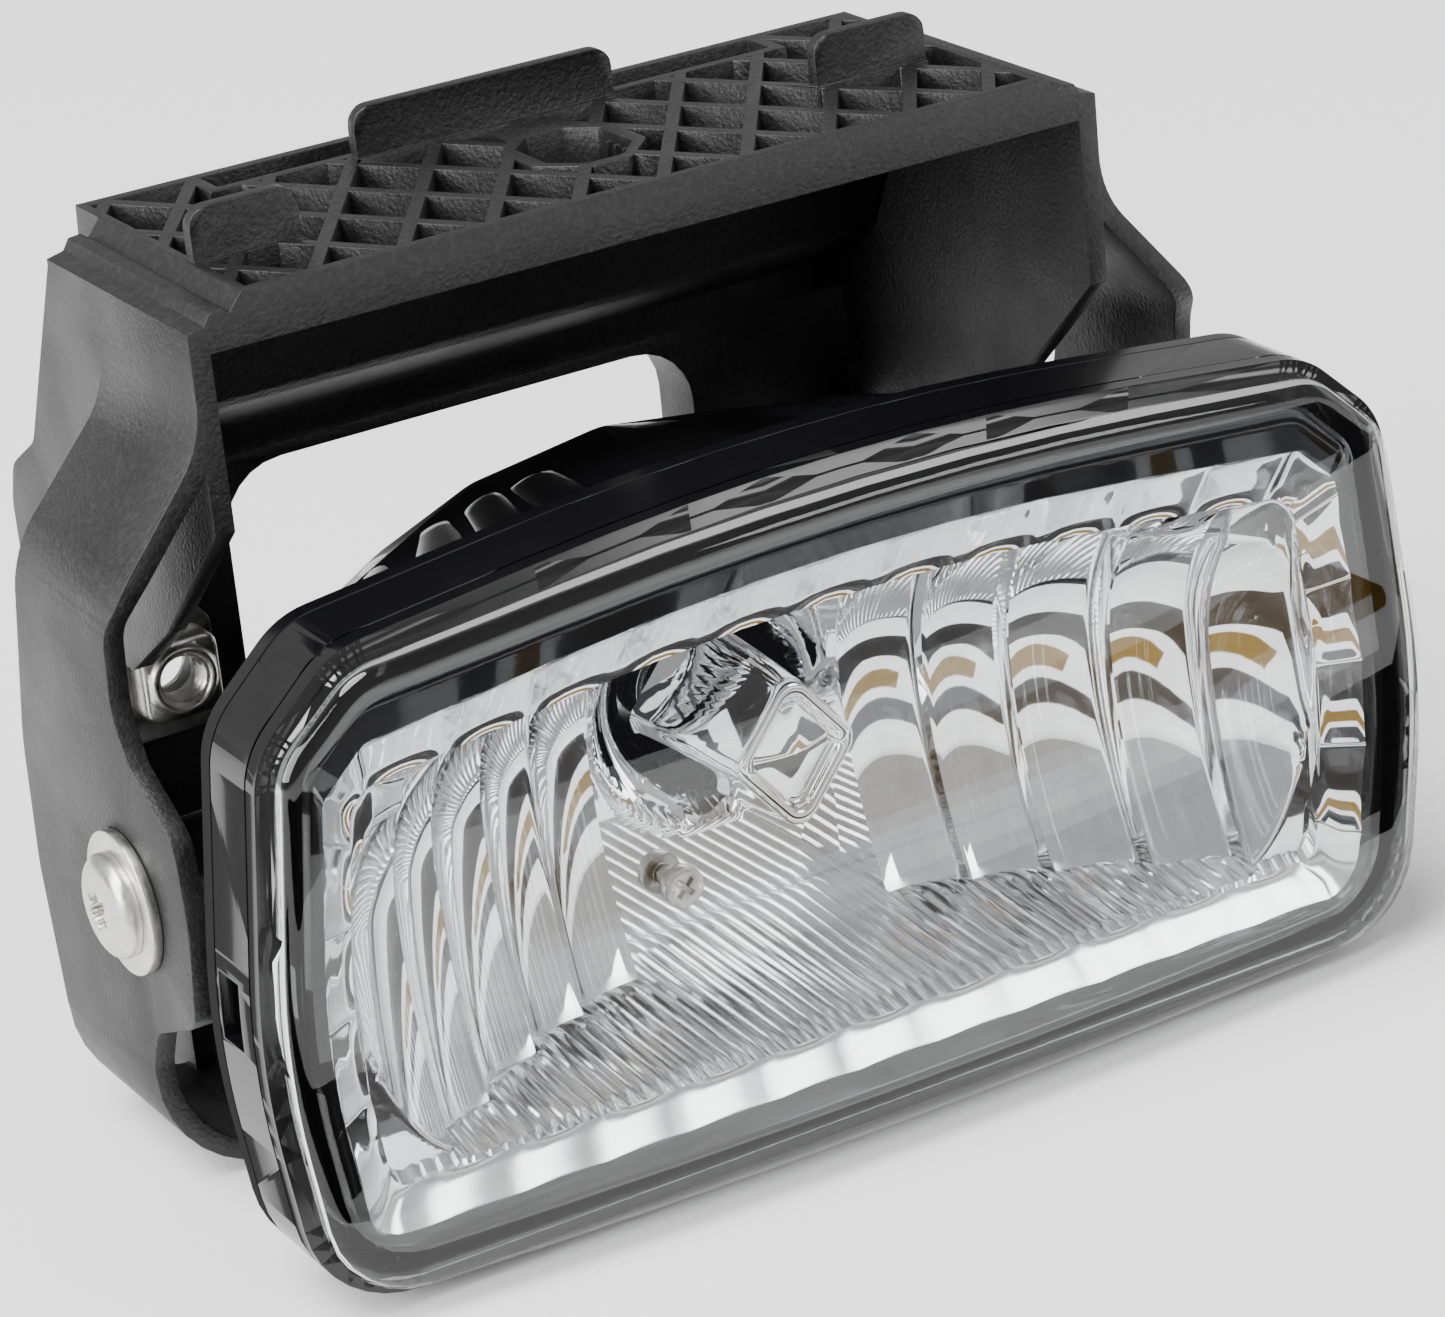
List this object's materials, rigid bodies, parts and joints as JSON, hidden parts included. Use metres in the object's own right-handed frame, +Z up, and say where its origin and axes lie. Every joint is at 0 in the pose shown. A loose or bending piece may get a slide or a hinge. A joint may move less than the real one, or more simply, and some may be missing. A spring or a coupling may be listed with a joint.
{
  "type": "fog light",
  "caption": "Rectangular fog lamp with clear lens and faceted reflector, tilting on two side screws in a moulded bracket with ribbed top pad.",
  "frame": {"origin": "on the ribbed pad's top face, on the centre line, on the land just behind the locating slot", "axes": "+Z up out of the pad; -Y forward, the way the light shines; X across the vehicle"},
  "size_m": [0.1902, 0.1332, 0.1382],
  "materials": {
    "bracket_plastic": "grained",
    "spring_steel": "zinc plated",
    "zinc_steel": "zinc plated",
    "housing_plastic": "satin",
    "clear_lens": "clear polished",
    "seal_rubber": "matte",
    "bezel_plastic": "gloss",
    "reflector_chrome": "mirror bright",
    "insert_brass": "machined",
    "bulb_glass": "clear",
    "tungsten": "drawn",
    "bulb_metal": "pressed",
    "bulb_plastic": "moulded",
    "oring_silicone": "matte",
    "terminal_metal": "tin plated"
  },
  "bodies": {
    "bracket": {"mounting_bracket": "bracket_plastic", "clip_left": "spring_steel", "clip_right": "spring_steel", "clip_nut_left": "zinc_steel", "clip_nut_right": "zinc_steel"},
    "lamp": {"housing": "housing_plastic", "lens": "clear_lens", "lens_seal": "seal_rubber", "bezel": "bezel_plastic", "reflector": "reflector_chrome", "bulb_shield": "reflector_chrome", "shield_screw": "zinc_steel", "reflector_screws": "zinc_steel", "vent_cap": "seal_rubber", "pivot_screw_left": "zinc_steel", "pivot_screw_right": "zinc_steel", "pivot_washer_left": "zinc_steel", "pivot_washer_right": "zinc_steel", "pivot_insert_left": "insert_brass", "pivot_insert_right": "insert_brass"},
    "bulb": {"bulb_glass": "bulb_glass", "bulb_filament": "tungsten", "bulb_leads": "tungsten", "bulb_holder": "bulb_metal", "bulb_base": "bulb_plastic", "bulb_seal": "oring_silicone", "terminal_left": "terminal_metal", "terminal_right": "terminal_metal"}
  },
  "joints": [
    {"name": "lamp_tilt", "type": "hinge", "parent": "bracket", "child": "lamp", "pos_m": [0, -0.029, -0.0843], "axis": [1, 0, 0], "range_deg": [-15, 15]},
    {"name": "bulb_turn", "type": "hinge", "parent": "lamp", "child": "bulb", "pos_m": [0, -0.009, -0.0793], "axis": [0, 1, 0], "range_deg": [0, 45]}
  ]
}
